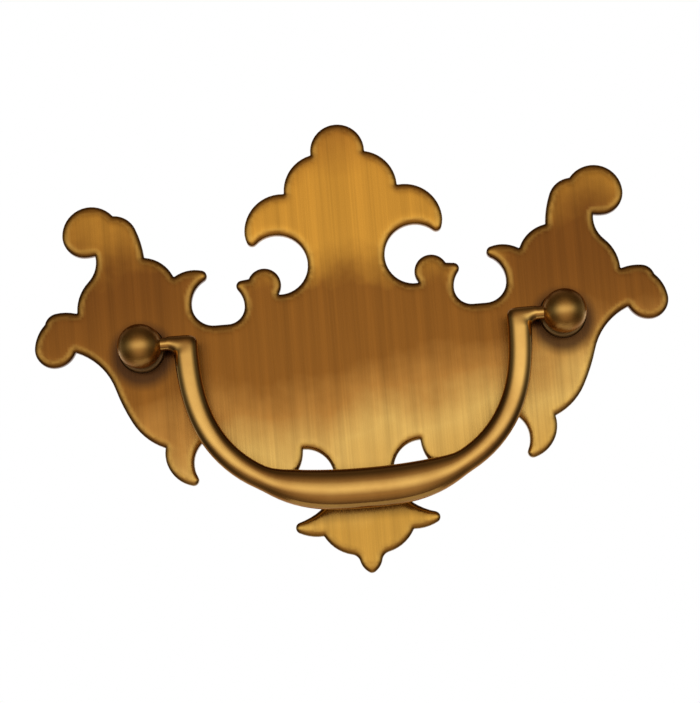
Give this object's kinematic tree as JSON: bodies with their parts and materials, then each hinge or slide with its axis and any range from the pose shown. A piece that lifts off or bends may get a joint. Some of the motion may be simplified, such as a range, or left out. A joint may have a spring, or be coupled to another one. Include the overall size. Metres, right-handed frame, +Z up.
{
  "type": "bail pull",
  "caption": "Antique brass drawer pull: a scrolled willow backplate and a swelled bail that swings from ball-headed posts fixed through the drawer front.",
  "frame": {"origin": "midway between the two posts, on the back face of the plate", "axes": "+X along the drawer from the left post to the right one as seen from the front, +Y into the drawer front along the posts, +Z up"},
  "size_m": [0.1148, 0.0373, 0.0817],
  "materials": {
    "backplate": "antique satin, fine upright brush lines",
    "bail": "antique satin",
    "posts": "antique satin",
    "fixings": "plain turned"
  },
  "bodies": {
    "plate": {"backplate": "backplate", "post_left": "posts", "post_right": "posts", "washer_left": "fixings", "washer_right": "fixings", "nut_left": "fixings", "nut_right": "fixings"},
    "bail": {"bail": "bail"}
  },
  "joints": [
    {"name": "bail_swing", "type": "hinge", "parent": "plate", "child": "bail", "pos_m": [0, -0.0078, 0], "axis": [-1, 0, 0], "range_deg": [-4.5, 184.5]}
  ]
}
